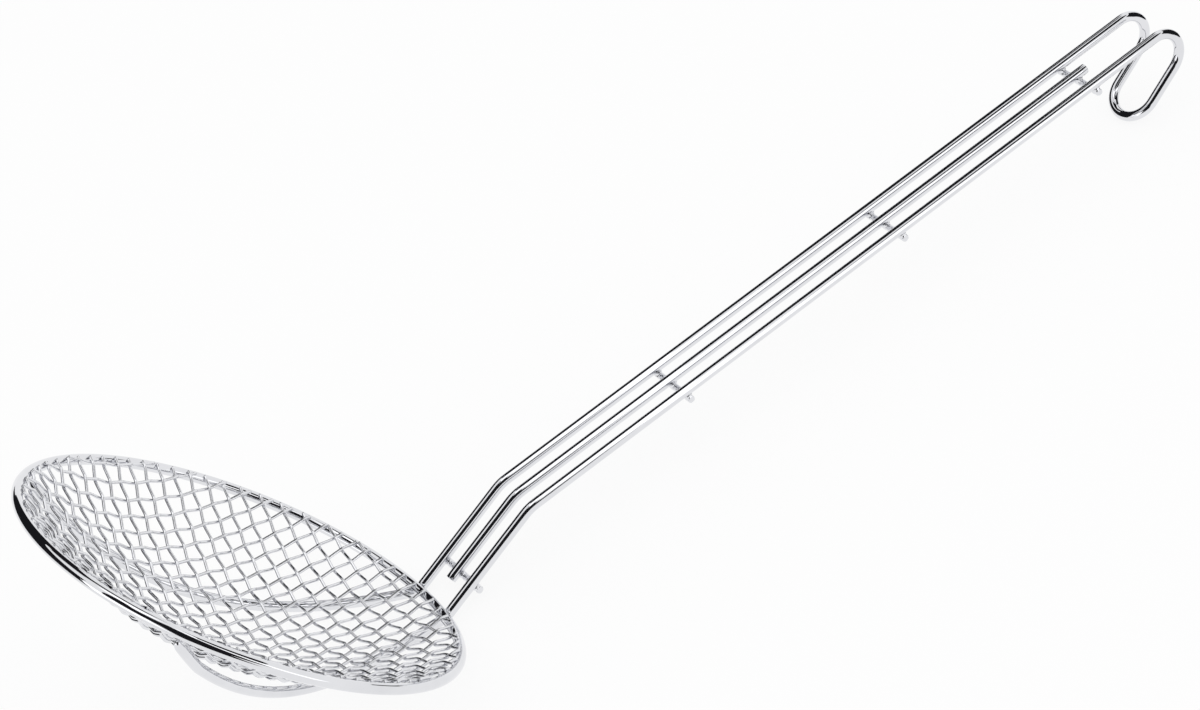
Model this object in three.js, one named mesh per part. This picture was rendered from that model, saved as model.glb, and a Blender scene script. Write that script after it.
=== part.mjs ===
// A wire skimmer for deep frying: a woven wire dish in a round ring, carried by a forked rod handle.
// Millimetres, +Z up. It lies as it does on a table: on the rod bends below the ring and on its hook.
import * as THREE from "three";

const { degToRad, euclideanModulo } = THREE.MathUtils;

// Ring that the dish is welded into
const ringRadius = 100;
const ringWire = 5;
const ringSteps = 64;

// Woven dish: two sets of crimped wires that pass over and under each other
const meshWire = 1.5;
const warpWires = 25;
const weftWires = 26;
const edgeMargin = 2.05;
const warpTurn = degToRad(4.5);
const weftTurn = degToRad(101.5);
const dishDepth = 37;
const dishCurve = 1.8;
const edgeRise = 1.75;
const wireEndGap = 0.45;
const crossingGap = 0.35;

// Handle rods: a short steep length at the ring, then the long grip
const rodWire = 5;
const rodSpacing = 12.25;
const lowerAngle = degToRad(71.5);
const lowerLength = 59.5;
const upperAngle = degToRad(50);
const upperLength = 375;
const handleBend = 20;
const weldGap = 0.3;

// Fork: the ends of the outer rods, which run below the dish to the far side of the ring
const footBend = 8;
const forkDepth = 35.5;
const forkAngle = degToRad(134.5);
const forkOverrun = 3.5;

// Hook: the outer rods fold down and meet in a round end
const hookBend = 12.2;
const hookTurn = degToRad(150);
const hookLeg = 18.7;

// Centre rod and cross bars, measured along the handle from where it passes the ring
const centreRodStart = 12.5;
const centreRodEnd = 401.5;
const barWire = 3.5;
const barOverhang = 3;
const barStations = [17.2, 149, 276.3, 396.5];

// Fineness of the round sections and bends
const rodSides = 8;
const meshSides = 6;
const forkSteps = 14;
const bendSteps = 5;
const hookSteps = 8;

function steel(colour, roughness) {
  return new THREE.MeshStandardMaterial({ color: colour, roughness, metalness: 1 });
}

function piece(name, geometry, material) {
  const mesh = new THREE.Mesh(geometry, material);
  mesh.name = name;
  return mesh;
}

// A round wire along a row of points, closed by a flat cut at each end.
// The section keeps its turn along the wire, and one of its flats faces the first normal.
function wireGeometry(points, diameter, sides, firstNormal) {
  const positions = [];
  const index = [];
  const normal = firstNormal.clone();
  points.forEach((point, i) => {
    const before = points[Math.max(i - 1, 0)];
    const after = points[Math.min(i + 1, points.length - 1)];
    const along = after.clone().sub(before).normalize();
    normal.addScaledVector(along, -normal.dot(along)).normalize();
    const across = along.clone().cross(normal);
    for (let k = 0; k < sides; k += 1) {
      const angle = (Math.PI * (2 * k + 1)) / sides;
      const corner = point.clone();
      corner.addScaledVector(normal, (diameter / 2) * Math.cos(angle));
      corner.addScaledVector(across, (diameter / 2) * Math.sin(angle));
      positions.push(corner.x, corner.y, corner.z);
    }
  });
  for (let i = 0; i + 1 < points.length; i += 1) {
    for (let k = 0; k < sides; k += 1) {
      const a = i * sides + k;
      const b = i * sides + ((k + 1) % sides);
      index.push(a, b, a + sides, b, b + sides, a + sides);
    }
  }
  const last = (points.length - 1) * sides;
  for (let k = 1; k + 1 < sides; k += 1) {
    index.push(0, k + 1, k);
    index.push(last, last + k, last + k + 1);
  }
  const geometry = new THREE.BufferGeometry();
  geometry.setAttribute("position", new THREE.Float32BufferAttribute(positions, 3));
  geometry.setIndex(index);
  return geometry;
}

// The points of a bent wire: straight runs between corners, each corner rounded to its own radius.
function bentPath(corners) {
  const path = [];
  corners.forEach(({ point, radius = 0, steps = bendSteps }, i) => {
    if (radius === 0) {
      path.push(point);
      return;
    }
    const incoming = point.clone().sub(corners[i - 1].point).normalize();
    const outgoing = corners[i + 1].point.clone().sub(point).normalize();
    const turn = incoming.angleTo(outgoing);
    const start = point.clone().addScaledVector(incoming, -radius * Math.tan(turn / 2));
    const inward = outgoing.clone().addScaledVector(incoming, -outgoing.dot(incoming)).normalize();
    for (let k = 0; k <= steps; k += 1) {
      const angle = (turn * k) / steps;
      const bend = start.clone();
      bend.addScaledVector(incoming, radius * Math.sin(angle));
      bend.addScaledVector(inward, radius * (1 - Math.cos(angle)));
      path.push(bend);
    }
  });
  return path;
}

// Ring, with the ring's plane at z = 0 and the handle on its +X side
const ringGeometry = new THREE.TorusGeometry(ringRadius, ringWire / 2, rodSides, ringSteps);

// Dish surface, midway through the weave
const dishReach = ringRadius - ringWire / 2 - wireEndGap;
const meshPitch = (2 * (dishReach - edgeMargin)) / (weftWires - 1);
const crimp = (meshWire + crossingGap) / 2;

function dishHeight(r) {
  return edgeRise - dishDepth * (1 - (r / dishReach) ** dishCurve);
}

function dishSlope(r) {
  return ((dishDepth * dishCurve) / dishReach) * (r / dishReach) ** (dishCurve - 1);
}

// A point of the dish, lifted off its surface along the surface's own normal
function dishPoint(x, y, lift) {
  const r = Math.hypot(x, y);
  const slope = dishSlope(r);
  const outward = new THREE.Vector3(x, y, 0).normalize();
  const normal = outward.multiplyScalar(-slope).setZ(1).normalize();
  return new THREE.Vector3(x, y, dishHeight(r)).addScaledVector(normal, lift);
}

// The two sets of wires: each one's turn is that of the line across its wires
const warp = { count: warpWires, turn: warpTurn, lean: 1 };
const weft = { count: weftWires, turn: weftTurn, lean: -1 };

function wireOffset(number, set) {
  return (number - (set.count - 1) / 2) * meshPitch;
}

// One crimped wire of the dish: straight from above, over one crossing wire and under the next
function meshWireGeometry(number, own, crossing) {
  const offset = wireOffset(number, own);
  const outerSide = Math.abs(offset) + meshWire / 2;
  const halfLength = Math.sqrt(dishReach ** 2 - outerSide ** 2);
  const angle = crossing.turn - own.turn;
  const stations = [-halfLength, halfLength];
  for (let other = 0; other < crossing.count; other += 1) {
    const station = (wireOffset(other, crossing) - offset * Math.cos(angle)) / Math.sin(angle);
    if (Math.abs(station) < halfLength - meshWire / 2) {
      stations.push(station);
    }
  }
  stations.sort((a, b) => a - b);
  const points = stations.map((station) => {
    const x = offset * Math.cos(own.turn) - station * Math.sin(own.turn);
    const y = offset * Math.sin(own.turn) + station * Math.cos(own.turn);
    const across = offset * Math.cos(angle) + station * Math.sin(angle);
    const place = across / meshPitch + (crossing.count - 1) / 2 + number;
    const wave = 2 * Math.abs(euclideanModulo(place, 2) - 1) - 1;
    return dishPoint(x, y, own.lean * crimp * wave);
  });
  return wireGeometry(points, meshWire, meshSides, new THREE.Vector3(0, 0, 1));
}

// Handle line in the plane y = 0, by distance along it from where it passes the ring
const seat = ringWire / 2 + rodWire / 2 + weldGap;
const forkSlopeAngle = Math.atan((forkDepth * dishCurve) / ringRadius);
const footTurn = lowerAngle - forkSlopeAngle;
const lineClearance = footBend - (footBend - seat) * Math.cos(footTurn / 2);
const lowerRun = new THREE.Vector3(Math.cos(lowerAngle), 0, Math.sin(lowerAngle));
const upperRun = new THREE.Vector3(Math.cos(upperAngle), 0, Math.sin(upperAngle));
const lowerUnder = new THREE.Vector3(Math.sin(lowerAngle), 0, -Math.cos(lowerAngle));
const upperUnder = new THREE.Vector3(Math.sin(upperAngle), 0, -Math.cos(upperAngle));
const ringPass = new THREE.Vector3(ringRadius, 0, 0).addScaledVector(lowerUnder, lineClearance);
const bendCorner = ringPass.clone().addScaledVector(lowerRun, lowerLength);

function handlePoint(distance, y, drop = 0) {
  const onUpper = distance > lowerLength;
  const point = onUpper ? bendCorner.clone() : ringPass.clone();
  point.addScaledVector(onUpper ? upperRun : lowerRun, onUpper ? distance - lowerLength : distance);
  point.addScaledVector(onUpper ? upperUnder : lowerUnder, drop);
  return point.setY(y);
}

// Outer rods, fork and hook: one rod, bent alike on both sides of the middle of the hook
const footCorner = new THREE.Vector3(ringRadius, 0, 0);
footCorner.addScaledVector(lowerUnder, lineClearance);
footCorner.addScaledVector(lowerRun, -lineClearance * Math.tan(footTurn / 2));
footCorner.setY(rodSpacing);
const forkEnd = new THREE.Vector3(Math.cos(forkAngle), Math.sin(forkAngle), 0);
forkEnd.multiplyScalar(ringRadius + forkOverrun);
const forkSeat = seat / Math.cos(forkSlopeAngle);

const forkCorners = [];
for (let k = 0; k < forkSteps; k += 1) {
  const point = forkEnd.clone().lerp(footCorner, k / forkSteps);
  const share = Math.hypot(point.x, point.y) / ringRadius;
  point.setZ(-forkSeat - forkDepth * (1 - share ** dishCurve));
  forkCorners.push({ point });
}
const hookDirection = upperAngle - hookTurn;
const hookRun = new THREE.Vector3(Math.cos(hookDirection), 0, Math.sin(hookDirection));
const hookReach = hookBend * Math.tan(hookTurn / 2);
const hookCorner = handlePoint(lowerLength + upperLength + hookReach, rodSpacing);
const legEnd = hookCorner.clone().addScaledVector(hookRun, hookReach + hookLeg);
const halfPath = bentPath([
  ...forkCorners,
  { point: footCorner, radius: footBend },
  { point: bendCorner.clone().setY(rodSpacing), radius: handleBend },
  { point: hookCorner, radius: hookBend, steps: hookSteps },
  { point: legEnd },
]);
const endTurn = [];
for (let k = 1; k < hookSteps; k += 1) {
  const angle = (Math.PI * k) / hookSteps;
  const point = legEnd.clone().addScaledVector(hookRun, rodSpacing * Math.sin(angle));
  endTurn.push(point.setY(rodSpacing * Math.cos(angle)));
}
const otherHalf = halfPath.map((point) => new THREE.Vector3(point.x, -point.y, point.z)).reverse();
const sideways = new THREE.Vector3(0, 1, 0);
const framePath = [...halfPath, ...endTurn, ...otherHalf];
const frameGeometry = wireGeometry(framePath, rodWire, rodSides, sideways);

// Centre rod, cut square at both ends
const centrePath = bentPath([
  { point: handlePoint(centreRodStart, 0) },
  { point: bendCorner, radius: handleBend },
  { point: handlePoint(centreRodEnd, 0) },
]);
const centreGeometry = wireGeometry(centrePath, rodWire, rodSides, sideways);

// Cross bars, welded below the three rods
const barLength = 2 * (rodSpacing + barOverhang);
const barDrop = rodWire / 2 + barWire / 2 + weldGap;

function barGeometry(distance) {
  const ends = [barLength / 2, -barLength / 2].map((y) => handlePoint(distance, y, barDrop));
  return wireGeometry(ends, barWire, rodSides, distance > lowerLength ? upperUnder : lowerUnder);
}

// The skimmer turned to lie on the table, from the foot bends to the round end of the hook
const lying = new THREE.Group();
lying.add(piece("rim_ring", ringGeometry, steel(0xd6d9dc, 0.14)));
lying.add(piece("handle_frame", frameGeometry, steel(0xd9dbde, 0.12)));
lying.add(piece("centre_rod", centreGeometry, steel(0xd9dbde, 0.12)));
barStations.forEach((distance, i) => {
  lying.add(piece(`cross_bar_${i + 1}`, barGeometry(distance), steel(0xc9ccd0, 0.2)));
});
function addMeshWires(name, own, crossing) {
  for (let number = 0; number < own.count; number += 1) {
    const label = String(number + 1).padStart(2, "0");
    const geometry = meshWireGeometry(number, own, crossing);
    lying.add(piece(`${name}_${label}`, geometry, steel(0xcfd2d6, 0.18)));
  }
}

addMeshWires("warp_wire", warp, weft);
addMeshWires("weft_wire", weft, warp);

const hookTip = legEnd.clone().addScaledVector(hookRun, rodSpacing);
const forkAndFoot = halfPath.slice(0, forkSteps + bendSteps + 1);
const leans = forkAndFoot.map((point) => Math.atan2(hookTip.z - point.z, hookTip.x - point.x));
lying.rotation.y = Math.max(...leans);

const skimmer = new THREE.Group();
skimmer.add(lying);
skimmer.updateMatrixWorld(true);
const extent = new THREE.Box3().setFromObject(skimmer, true);
const middle = extent.getCenter(new THREE.Vector3());
lying.position.set(-middle.x, -middle.y, -extent.min.z);

export default skimmer;
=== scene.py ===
# A wire skimmer for deep frying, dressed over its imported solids: ring, woven dish, rods and cross bars.
import math

import bpy
from mathutils import Matrix, Vector


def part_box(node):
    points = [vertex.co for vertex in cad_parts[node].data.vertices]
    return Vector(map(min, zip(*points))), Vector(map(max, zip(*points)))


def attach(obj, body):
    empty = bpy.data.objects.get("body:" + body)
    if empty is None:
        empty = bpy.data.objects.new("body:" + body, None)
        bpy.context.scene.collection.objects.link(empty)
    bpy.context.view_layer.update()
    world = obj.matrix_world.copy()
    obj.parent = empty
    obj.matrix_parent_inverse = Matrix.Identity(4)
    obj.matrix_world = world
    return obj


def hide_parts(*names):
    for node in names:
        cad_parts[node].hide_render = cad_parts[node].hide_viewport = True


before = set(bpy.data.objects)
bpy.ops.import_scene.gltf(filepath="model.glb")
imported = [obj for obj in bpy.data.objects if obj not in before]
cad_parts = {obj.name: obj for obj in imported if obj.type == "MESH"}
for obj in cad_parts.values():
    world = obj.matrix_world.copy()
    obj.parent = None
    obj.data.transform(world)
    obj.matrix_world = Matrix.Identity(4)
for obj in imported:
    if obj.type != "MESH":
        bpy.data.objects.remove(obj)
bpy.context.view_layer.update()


# Ring round the dish: one length of 5 mm bright steel wire, rolled to a circle, butt welded where its
# ends meet and polished. Everything else is set out from its middle, with the ring's plane at z = 0.
ring_radius = 0.100
ring_wire = 0.005
ring_weld_angle = math.radians(-3)
ring_weld_reach = 0.0016
ring_weld_swell = 0.00012
ring_weld_heat = 0.004
ring_lines = (4, 70, 1)
ring_roughness = 0.012
steel_colour = (0.76, 0.765, 0.79, 1.0)
steel_dull_colour = (0.68, 0.685, 0.71, 1.0)
scorch_colour = (0.08, 0.074, 0.070, 1.0)
wipe_scale = 55.0
wipe_contrast = 1.6
wipe_start = 0.55
grain_scale = 1400.0
grain_depth = 0.0002
grain_strength = 0.2
speck_from_heat = 1.5
speck_from_grain = 1.8
speck_start = 1.35
wipe_roughness = 0.02
line_roughness = 0.012
heat_roughness = 0.12
speck_roughness = 0.25

lowest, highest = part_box("rim_ring")
lying_tilt = math.radians(47.7239)
lying = Matrix.Translation((lowest + highest) / 2) @ Matrix.Rotation(lying_tilt, 4, "Y")


class Shade:
    """One socket of a material's nodes, so that shader maths can be written as plain expressions."""

    def __init__(self, tree, socket=None):
        self.tree = tree
        self.socket = socket

    def node(self, kind, settings, sockets, output=0):
        made = self.tree.nodes.new("ShaderNode" + kind)
        for name, value in settings.items():
            setattr(made, name, value)
        for name, value in sockets.items():
            if isinstance(value, Shade):
                self.tree.links.new(value.socket, made.inputs[name])
            else:
                made.inputs[name].default_value = value
        return Shade(self.tree, made.outputs[output] if len(made.outputs) else None)

    def __add__(self, other):
        return self.node("Math", {"operation": "ADD"}, {0: self, 1: other})

    def __mul__(self, other):
        return self.node("Math", {"operation": "MULTIPLY"}, {0: self, 1: other})

    __radd__ = __add__
    __rmul__ = __mul__

    def held(self, scale, shift):
        """Scaled and shifted, and held between 0 and 1."""
        settings = {"operation": "MULTIPLY_ADD", "use_clamp": True}
        return self.node("Math", settings, {0: self, 1: scale, 2: shift})


def bare_material(name):
    """A new material without nodes, and the start of its shader maths."""
    material = bpy.data.materials.new(name)
    material.use_nodes = True
    material.node_tree.nodes.clear()
    return material, Shade(material.node_tree)


def polished_steel(name, line_scale, roughness):
    """Bright drawn wire: faint lines along it, soft wipe marks, and scorched dull metal near a weld."""
    material, start = bare_material(name)
    around = start.node("TexCoord", {}, {}, "UV")
    place = start.node("TexCoord", {}, {}, "Object")
    stretched = start.node("Mapping", {}, {"Vector": around, "Scale": line_scale})
    lines = start.node("TexNoise", {}, {"Vector": stretched, "Scale": 1.0, "Detail": 3.0}, "Fac")
    wipes = start.node("TexNoise", {}, {"Vector": place, "Scale": wipe_scale, "Detail": 4.0}, "Fac")
    grain = start.node("TexNoise", {}, {"Vector": place, "Scale": grain_scale, "Detail": 3.0}, "Fac")
    heat = start.node("Attribute", {"attribute_name": "heat"}, {}, "Fac")
    dull = wipes.held(wipe_contrast, -wipe_start)
    speck = (heat * speck_from_heat + grain * speck_from_grain).held(1.0, -speck_start)
    mix = {"data_type": "RGBA"}
    clean = start.node("Mix", mix, {0: dull, 6: steel_colour, 7: steel_dull_colour}, 2)
    colour = start.node("Mix", mix, {0: speck, 6: clean, 7: scorch_colour}, 2)
    gloss = roughness + dull * wipe_roughness + lines * line_roughness
    gloss = gloss + heat * heat_roughness + speck * speck_roughness
    height = grain * heat
    bump = start.node(
        "Bump",
        {},
        {"Height": height, "Strength": grain_strength, "Distance": grain_depth},
    )
    surface = start.node(
        "BsdfPrincipled",
        {},
        {"Base Color": colour, "Metallic": 1.0, "Roughness": gloss, "Normal": bump},
    )
    start.node("OutputMaterial", {}, {"Surface": surface})
    return material


def select_only(piece):
    """Makes a piece the only selected one, and the active one."""
    bpy.ops.object.select_all(action="DESELECT")
    piece.select_set(True)
    bpy.context.view_layer.objects.active = piece


def mark_heat(piece, spots, reach):
    """How near each point of the piece is to a weld, from 0 to 1, for its material."""
    heat = piece.data.attributes.new("heat", "FLOAT", "POINT")
    for vertex, value in zip(piece.data.vertices, heat.data):
        nearest = min((vertex.co - spot).length for spot in spots)
        value.value = max(0.0, 1.0 - nearest / reach)


def lay(piece, material, node):
    """Turns a finished piece as the skimmer lies, and puts it in place of its solid."""
    select_only(piece)
    piece.matrix_world = lying @ piece.matrix_world
    bpy.ops.object.transform_apply(location=True, rotation=True, scale=True)
    piece.data.materials.clear()
    piece.data.materials.append(material)
    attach(piece, "root")
    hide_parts(node)


bpy.ops.object.select_all(action="DESELECT")
bpy.ops.mesh.primitive_torus_add(
    major_radius=ring_radius,
    minor_radius=ring_wire / 2,
    major_segments=360,
    minor_segments=32,
)
ring = bpy.context.object
ring.name = "ring"
ring_weld = Vector((math.cos(ring_weld_angle), math.sin(ring_weld_angle), 0)) * ring_radius
bpy.ops.object.mode_set(mode="EDIT")
bpy.ops.mesh.select_all(action="DESELECT")
bpy.ops.object.mode_set(mode="OBJECT")
for vertex in ring.data.vertices:
    along = math.atan2(vertex.co.y, vertex.co.x) - ring_weld_angle
    vertex.select = abs(along) * ring_radius < ring_weld_reach / 2
bpy.ops.object.mode_set(mode="EDIT")
bpy.ops.transform.shrink_fatten(value=ring_weld_swell)
bpy.ops.object.mode_set(mode="OBJECT")
bpy.ops.object.shade_smooth()
mark_heat(ring, [ring_weld], ring_weld_heat)
lay(ring, polished_steel("ring_steel", ring_lines, ring_roughness), "rim_ring")


# Woven dish: crimped 1.5 mm steel wires, straight from above, each over one crossing wire and under the
# next. The woven sheet is pressed to a dish, and its cut ends are welded on the ring's inner shoulder.
mesh_wire = 0.0015
mesh_roundness = 3
mesh_nose = mesh_wire * 0.3
mesh_lines = (14, 5, 1)
mesh_roughness = 0.015
warp_wires = 25
weft_wires = 26
warp_turn = math.radians(4.5)
weft_turn = math.radians(101.5)
dish_reach = 0.09705
dish_depth = 0.037
dish_curve = 1.8
edge_rise = 0.00175
edge_margin = 0.00205
mesh_pitch = 2 * (dish_reach - edge_margin) / (weft_wires - 1)
crimp_lift = mesh_wire * 0.52
crimp_sharpness = 0.96
crimp_steps = 10
crimp_fade = 0.004
fewest_steps = 12
shoulder_reach = ring_wire / 2 + 0.38 * mesh_wire
wire_end_radius = 0.0984
wire_end_heat = 0.0015
nose_shares = (1.0, 0.9, 0.7, 0.4, 0.15)
same_point = 1e-6
smooth_angle = math.radians(50)


def dish_slope(r):
    """How steeply the dish rises at a distance from its middle."""
    return dish_depth * dish_curve / dish_reach * (r / dish_reach) ** (dish_curve - 1)


def dish_height(r):
    """The dish's surface, and near the ring the curve on which the wires lie over its shoulder."""
    inward = ring_radius - r
    if inward > shoulder_reach * math.sin(math.atan(dish_slope(dish_reach))):
        return edge_rise - dish_depth * (1 - (r / dish_reach) ** dish_curve)
    return math.sqrt(shoulder_reach**2 - inward**2)


def round_wire(name, path, diameter, roundness, nose):
    """A round wire along a path. Each end is eased over the length of the nose."""
    bpy.ops.curve.primitive_nurbs_path_add()
    piece = bpy.context.object
    piece.name = name
    curve = piece.data
    curve.splines.clear()
    curve.bevel_depth = diameter / 2
    curve.bevel_resolution = roundness
    curve.use_fill_caps = True
    bluntness = min(1, nose / (diameter / 2))
    eased = []
    for share in nose_shares:
        eased.append((nose * (1 - share), 1 - bluntness * (1 - math.sqrt(1 - share**2))))
    start_run = (path[1] - path[0]).normalized()
    end_run = (path[-2] - path[-1]).normalized()
    first = [(path[0] + start_run * reach, width) for reach, width in eased]
    last = [(path[-1] + end_run * reach, width) for reach, width in reversed(eased)]
    middle = []
    for place in path[1:-1]:
        if min((place - path[0]).length, (place - path[-1]).length) > nose:
            middle.append((place, 1.0))
    points = first + middle + last
    spline = curve.splines.new("POLY")
    spline.points.add(len(points) - 1)
    for point, (place, width) in zip(spline.points, points):
        point.co = (*place, 1.0)
        point.radius = width
    select_only(piece)
    bpy.ops.object.convert(target="MESH")
    bpy.ops.object.mode_set(mode="EDIT")
    bpy.ops.mesh.select_all(action="SELECT")
    bpy.ops.mesh.remove_doubles(threshold=same_point)
    bpy.ops.mesh.normals_make_consistent(inside=False)
    bpy.ops.object.mode_set(mode="OBJECT")
    bpy.ops.object.shade_smooth_by_angle(angle=smooth_angle)
    return piece


def crimped_path(number, count, turn, crossing_count, crossing_turn, lean):
    """One dish wire from end to end. It stands off the dish's surface by half a wire at each crossing."""
    offset = (number - (count - 1) / 2) * mesh_pitch
    half_length = math.sqrt(wire_end_radius**2 - offset**2)
    angle = crossing_turn - turn
    steps = max(fewest_steps, round(2 * half_length / mesh_pitch * crimp_steps))
    path = []
    for step in range(steps + 1):
        station = half_length * (2 * step / steps - 1)
        x = offset * math.cos(turn) - station * math.sin(turn)
        y = offset * math.sin(turn) + station * math.cos(turn)
        r = math.hypot(x, y)
        across = offset * math.cos(angle) + station * math.sin(angle)
        place = across / mesh_pitch + (crossing_count - 1) / 2 + number
        wave = math.asin(crimp_sharpness * math.cos(math.pi * place)) / math.asin(crimp_sharpness)
        fade = min(1.0, max(0.0, (wire_end_radius - r) / crimp_fade))
        slope = dish_slope(r) / max(r, same_point)
        normal = Vector((-slope * x, -slope * y, 1)).normalized()
        path.append(Vector((x, y, dish_height(r))) + normal * (lean * wave * fade * crimp_lift))
    return path


dish_steel = polished_steel("dish_steel", mesh_lines, mesh_roughness)
warp_set = ("warp_wire", warp_wires, warp_turn, weft_wires, weft_turn, 1)
weft_set = ("weft_wire", weft_wires, weft_turn, warp_wires, warp_turn, -1)
for set_name, count, turn, crossing_count, crossing_turn, lean in (warp_set, weft_set):
    for number in range(count):
        node = f"{set_name}_{number + 1:02d}"
        path = crimped_path(number, count, turn, crossing_count, crossing_turn, lean)
        wire = round_wire("dish_" + node, path, mesh_wire, mesh_roundness, mesh_nose)
        mark_heat(wire, [path[0], path[-1]], wire_end_heat)
        lay(wire, dish_steel, node)


# Handle frame: one 5 mm polished steel rod. From a tapered end, welded up into the far side of the ring,
# it runs under the dish, bends up past the ring, where a weld bead holds it, and goes along the grip,
# round the hook and back the same way.
rod_wire = 0.005
rod_roundness = 12
rod_nose = rod_wire * 1.2
rod_spacing = 0.01225
rod_lines = (70, 6, 1)
rod_roughness = 0.012
weld_gap = 0.0003
lower_angle = math.radians(71.5)
lower_length = 0.0595
upper_angle = math.radians(50)
upper_length = 0.375
handle_bend = 0.020
foot_bend = 0.008
fork_depth = 0.0355
fork_angle = math.radians(134.5)
fork_overrun = 0.0002
fork_steps = 36
fork_rise = 0.0026
fork_rise_steps = 4
hook_bend = 0.0122
hook_turn = math.radians(150)
hook_leg = 0.0187
bend_step = math.radians(5)
fewest_bend_steps = 4
run_step = 0.003
bar_stations = (0.0172, 0.149, 0.2763, 0.3965)
bead_size = (0.0019, 0.0019, 0.0009)
bead_segments = 32
bead_drop = 0.7
bead_skin = 0.0004
ripple_size = 0.0012
rod_weld_heat = 0.0036

seat = ring_wire / 2 + rod_wire / 2 + weld_gap
fork_slope = math.atan(fork_depth * dish_curve / ring_radius)
foot_turn = lower_angle - fork_slope
clearance = foot_bend - (foot_bend - seat) * math.cos(foot_turn / 2)
lower_run = Vector((math.cos(lower_angle), 0, math.sin(lower_angle)))
upper_run = Vector((math.cos(upper_angle), 0, math.sin(upper_angle)))
lower_under = Vector((math.sin(lower_angle), 0, -math.cos(lower_angle)))
upper_under = Vector((math.sin(upper_angle), 0, -math.cos(upper_angle)))
ring_pass = Vector((ring_radius, 0, 0)) + lower_under * clearance
bend_corner = ring_pass + lower_run * lower_length


def handle_point(distance, y, drop=0.0):
    """A point of the handle by its distance from the ring, at a side place y and a drop below the rods."""
    if distance > lower_length:
        place = bend_corner + upper_run * (distance - lower_length) + upper_under * drop
    else:
        place = ring_pass + lower_run * distance + lower_under * drop
    return Vector((place.x, y, place.z))


def bent(corners):
    """The points of a bent rod: straight runs between corners, each corner rounded to its own radius."""
    path = []
    for number, (corner, radius) in enumerate(corners):
        if radius == 0:
            path.append(corner)
            continue
        incoming = (corner - corners[number - 1][0]).normalized()
        outgoing = (corners[number + 1][0] - corner).normalized()
        turn = incoming.angle(outgoing)
        start = corner - incoming * radius * math.tan(turn / 2)
        inward = (outgoing - incoming * outgoing.dot(incoming)).normalized()
        steps = max(fewest_bend_steps, round(turn / bend_step))
        for step in range(steps + 1):
            angle = turn * step / steps
            along = incoming * radius * math.sin(angle)
            path.append(start + along + inward * radius * (1 - math.cos(angle)))
    even = [path[0]]
    for start, end in zip(path, path[1:]):
        pieces = math.ceil((end - start).length / run_step)
        even += [start.lerp(end, piece / pieces) for piece in range(1, pieces + 1)]
    return even


foot = ring_pass - lower_run * clearance * math.tan(foot_turn / 2)
foot.y = rod_spacing
fork_end = Vector((math.cos(fork_angle), math.sin(fork_angle), 0)) * (ring_radius + fork_overrun)
fork = []
for step in range(fork_steps):
    point = fork_end.lerp(foot, step / fork_steps)
    share = math.hypot(point.x, point.y) / ring_radius
    point.z = -seat / math.cos(fork_slope) - fork_depth * (1 - share**dish_curve)
    point.z += fork_rise * max(0, 1 - step / fork_rise_steps)
    fork.append((point, 0))
hook_direction = upper_angle - hook_turn
hook_run = Vector((math.cos(hook_direction), 0, math.sin(hook_direction)))
hook_reach = hook_bend * math.tan(hook_turn / 2)
hook_corner = handle_point(lower_length + upper_length + hook_reach, rod_spacing)
leg_end = hook_corner + hook_run * (hook_reach + hook_leg)
rod_bend = Vector((bend_corner.x, rod_spacing, bend_corner.z))
half = bent(fork + [(foot, foot_bend), (rod_bend, handle_bend), (hook_corner, hook_bend), (leg_end, 0)])
end_steps = round(math.pi / bend_step)
end_turn = []
for step in range(1, end_steps):
    angle = math.pi * step / end_steps
    point = leg_end + hook_run * rod_spacing * math.sin(angle)
    end_turn.append(Vector((point.x, rod_spacing * math.cos(angle), point.z)))
other_half = [Vector((point.x, -point.y, point.z)) for point in reversed(half)]
handle_path = half + end_turn + other_half
handle_frame = round_wire("handle_rod", handle_path, rod_wire, rod_roundness, rod_nose)

ripple = bpy.data.textures.new("weld_ripple", type="CLOUDS")
ripple.noise_scale = ripple_size


def roughen(piece, depth):
    """Gives weld metal its uneven skin."""
    select_only(piece)
    skin = piece.modifiers.new("skin", "DISPLACE")
    skin.texture = ripple
    skin.texture_coords = "GLOBAL"
    skin.strength = depth
    bpy.ops.object.modifier_apply(modifier="skin")


def weld_lump(spot, facing, size, segments):
    """A flattened lump of weld metal, which faces away from the piece that it was melted on."""
    bpy.ops.mesh.primitive_uv_sphere_add(
        segments=segments,
        ring_count=segments // 2,
        radius=1,
        location=spot,
    )
    lump = bpy.context.object
    lump.scale = size
    lump.rotation_euler = facing.to_track_quat("Z", "Y").to_euler()
    return lump


def join_to(piece, others):
    """Makes other meshes a part of the piece."""
    select_only(piece)
    for other in others:
        other.select_set(True)
    bpy.ops.object.join()


ring_contacts = []
beads = []
for side in (1, -1):
    heading = Vector((foot.x, foot.y * side, 0)).normalized()
    below = Vector((heading.x, heading.y, -bead_drop)).normalized()
    spot = heading * ring_radius + below * (ring_wire / 2)
    ring_contacts.append(spot)
    bead = weld_lump(spot, below, bead_size, bead_segments)
    select_only(bead)
    bpy.ops.object.transform_apply(location=True, rotation=True, scale=True)
    roughen(bead, bead_skin)
    beads.append(bead)
join_to(handle_frame, beads)
bpy.ops.object.shade_smooth_by_angle(angle=smooth_angle)
bar_contacts = []
for station in bar_stations:
    for y in (rod_spacing, -rod_spacing):
        bar_contacts.append(handle_point(station, y, rod_wire / 2))
mark_heat(handle_frame, bar_contacts + ring_contacts, rod_weld_heat)
rod_steel = polished_steel("rod_steel", rod_lines, rod_roughness)
lay(handle_frame, rod_steel, "handle_frame")


# Centre rod: a straight length of the same rod with one bend, sawn square at both ends and lightly
# deburred. It lies between the outer rods and is held only by the four cross bars below it.
centre_start = 0.0125
centre_end = 0.4015
centre_weld_heat = 0.0032
saw_edge = 0.0003

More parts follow.
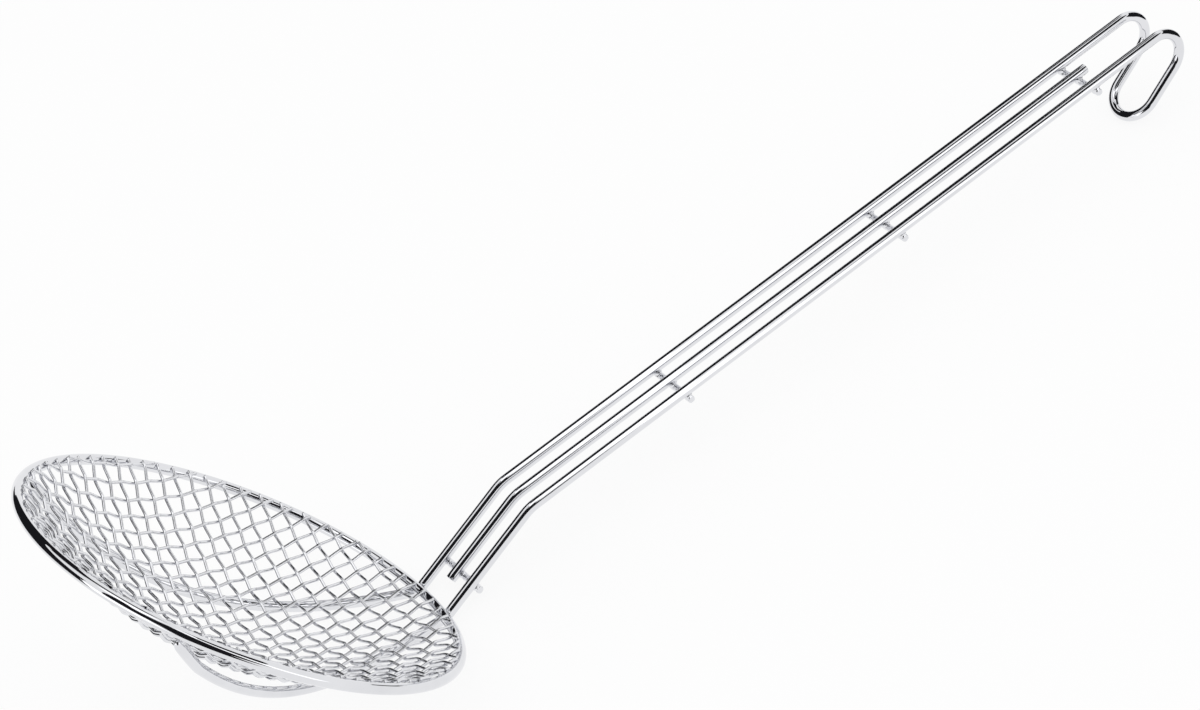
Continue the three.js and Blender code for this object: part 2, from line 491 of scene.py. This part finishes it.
centre_path = bent([
    (handle_point(centre_start, 0), 0),
    (bend_corner, handle_bend),
    (handle_point(centre_end, 0), 0),
])
centre_rod = round_wire("centre_rod_steel", centre_path, rod_wire, rod_roundness, saw_edge)
centre_contacts = [handle_point(station, 0, rod_wire / 2) for station in bar_stations]
mark_heat(centre_rod, centre_contacts, centre_weld_heat)
lay(centre_rod, rod_steel, "centre_rod")


# Cross bars: four short pieces of 3.5 mm wire laid across the underside of the three rods. Each is
# resistance welded to them, which leaves a collar of upset metal at every crossing, and scorched metal
# with an uneven skin between the rods.
bar_wire = 0.0035
bar_roundness = 10
bar_pieces = 6
bar_overhang = 0.0024
bar_drop = rod_wire / 2 + bar_wire / 2 + weld_gap
bar_lines = (30, 4, 1)
bar_roughness = 0.04
bar_skin = 0.0005
bar_heat = 0.0082
collar_size = (0.0021, 0.0021, 0.0013)
collar_segments = 24
collar_fineness = 0.00022
collar_ease = 0.5
collar_ease_rounds = 4

bar_steel = polished_steel("bar_steel", bar_lines, bar_roughness)
for number, station in enumerate(bar_stations):
    node = f"cross_bar_{number + 1}"
    reach = rod_spacing + bar_overhang
    bar_start = handle_point(station, reach, bar_drop)
    run = handle_point(station, -reach, bar_drop) - bar_start
    path = [bar_start + run * piece / bar_pieces for piece in range(bar_pieces + 1)]
    bar = round_wire("bar_" + node, path, bar_wire, bar_roundness, saw_edge)
    under = upper_under if station > lower_length else lower_under
    collars = []
    for y in (rod_spacing, 0, -rod_spacing):
        spot = handle_point(station, y, rod_wire / 2 + weld_gap / 2)
        collars.append(weld_lump(spot, under, collar_size, collar_segments))
    join_to(bar, collars)
    fused = bar.modifiers.new("fused", "REMESH")
    fused.mode = "VOXEL"
    fused.voxel_size = collar_fineness
    bpy.ops.object.modifier_apply(modifier="fused")
    eased = bar.modifiers.new("eased", "SMOOTH")
    eased.factor = collar_ease
    eased.iterations = collar_ease_rounds
    bpy.ops.object.modifier_apply(modifier="eased")
    roughen(bar, bar_skin)
    bpy.ops.object.shade_smooth()
    between_rods = [handle_point(station, y) for y in (rod_spacing / 2, -rod_spacing / 2)]
    mark_heat(bar, between_rods, bar_heat)
    lay(bar, bar_steel, node)


# Studio: a plain white table in a white room, with soft lamps. The polished wire mirrors dark cloths hung
# all round and a dark card beside the hook, which the camera doesn't see. None of it belongs to the
# skimmer.
table_size = 8
table_colour = (0.92, 0.92, 0.925, 1.0)
table_glow_in_view = 0.86
room_colour = (1.0, 1.0, 1.0, 1.0)
room_light_level = 0.9
cloth_colour = (0.012, 0.012, 0.014, 1.0)
cloth_distance = 3.0
# Each cloth hangs between two azimuths and two elevations, in degrees
cloths = {
    "cloth_front": ((-112, -76), (24, 72)),
    "cloth_corner": ((-156, -110), (3, 72)),
    "cloth_left": ((-182, -150), (30, 82)),
    "cloth_right": ((-60, -12), (37, 62)),
    "cloth_over": ((15, 95), (50, 70)),
    "cloth_back": ((50, 84), (9, 50)),
    "cloth_far": ((84, 165), (0, 47)),
}
card_place = (0.365, -0.030, 0.050)
card_size = (0.12, 0.10)
card_turn = (90, 0, 90)
camera_place = (-0.41645, -1.02616, 0.95294)
camera_turn = (48.9093, 16.665, -34.3782)
camera_film = 36
camera_lens = 95.54
lamp_distance = 2.6
# Each lamp has an azimuth and elevation in degrees, a width and height in metres, and its watts
lamps = {
    "lamp_front_right": ((-68, 36), (0.78, 3.6), 4.5),
    "lamp_left": ((187, 17), (2.0, 1.3), 5.0),
    "lamp_top": ((0, 88), (1.0, 1.0), 2.0),
}


def around_middle(azimuth, elevation, distance):
    """A place in the room, as seen from the middle of the skimmer."""
    turn = math.radians(azimuth)
    rise = math.radians(elevation)
    flat = math.cos(rise) * distance
    return Vector((math.cos(turn) * flat, math.sin(turn) * flat, math.sin(rise) * distance))


def seen_by_rays(shade, in_view):
    """How much of its own glow a surface shows: a share of it in view, and all of it when mirrored."""
    seen = shade.node("LightPath", {}, {}, "Is Camera Ray") * in_view
    seen = seen + shade.node("LightPath", {}, {}, "Is Glossy Ray")
    return seen + shade.node("LightPath", {}, {}, "Is Transmission Ray")


bpy.ops.object.select_all(action="DESELECT")
bpy.ops.mesh.primitive_plane_add(size=table_size)
table = bpy.context.object
table.name = "table"
table_white, shade = bare_material("table_white")
matt = shade.node("BsdfDiffuse", {}, {"Color": table_colour})
glow = shade.node("Emission", {}, {"Color": room_colour, "Strength": 1.0})
cover = shade.node("MixShader", {}, {0: seen_by_rays(shade, table_glow_in_view), 1: matt, 2: glow})
shade.node("OutputMaterial", {}, {"Surface": cover})
table.data.materials.append(table_white)

dark_cloth, shade = bare_material("dark_cloth")
cover = shade.node("Emission", {}, {"Color": cloth_colour, "Strength": 1.0})
shade.node("OutputMaterial", {}, {"Surface": cover})


def hang_dark(cloth):
    """Makes a thing dark, and leaves it to be seen only in what the polished wire mirrors."""
    cloth.data.materials.append(dark_cloth)
    cloth.visible_camera = False
    cloth.visible_diffuse = False
    cloth.visible_shadow = False


for name, (azimuths, elevations) in cloths.items():
    bpy.ops.mesh.primitive_grid_add(x_subdivisions=24, y_subdivisions=16, size=1)
    cloth = bpy.context.object
    cloth.name = name
    for vertex in cloth.data.vertices:
        azimuth = azimuths[0] + (vertex.co.x + 0.5) * (azimuths[1] - azimuths[0])
        elevation = elevations[0] + (vertex.co.y + 0.5) * (elevations[1] - elevations[0])
        vertex.co = around_middle(azimuth, elevation, cloth_distance)
    hang_dark(cloth)

bpy.ops.mesh.primitive_plane_add(size=1, location=card_place)
card = bpy.context.object
card.name = "card_by_hook"
card.scale = (*card_size, 1)
card.rotation_euler = [math.radians(turn) for turn in card_turn]
hang_dark(card)

for name, ((azimuth, elevation), (width, height), watts) in lamps.items():
    place = around_middle(azimuth, elevation, lamp_distance)
    bpy.ops.object.light_add(type="AREA", location=place)
    lamp = bpy.context.object
    lamp.name = name
    lamp.rotation_euler = place.to_track_quat("Z", "Y").to_euler()
    lamp.data.shape = "RECTANGLE"
    lamp.data.size = width
    lamp.data.size_y = height
    lamp.data.energy = watts

room = bpy.data.worlds.new("white_room")
bpy.context.scene.world = room
room.use_nodes = True
room.node_tree.nodes.clear()
shade = Shade(room.node_tree)
level = room_light_level + seen_by_rays(shade, 1.0) * (1 - room_light_level)
room_light = shade.node("Background", {}, {"Color": room_colour, "Strength": level})
shade.node("OutputWorld", {}, {"Surface": room_light})

camera_data = bpy.data.cameras.new("camera")
camera_data.sensor_width = camera_film
camera_data.lens = camera_lens
camera = bpy.data.objects.new("camera", camera_data)
camera.location = camera_place
camera.rotation_euler = [math.radians(turn) for turn in camera_turn]
bpy.context.scene.collection.objects.link(camera)
bpy.context.scene.camera = camera
bpy.context.scene.view_settings.view_transform = "Standard"
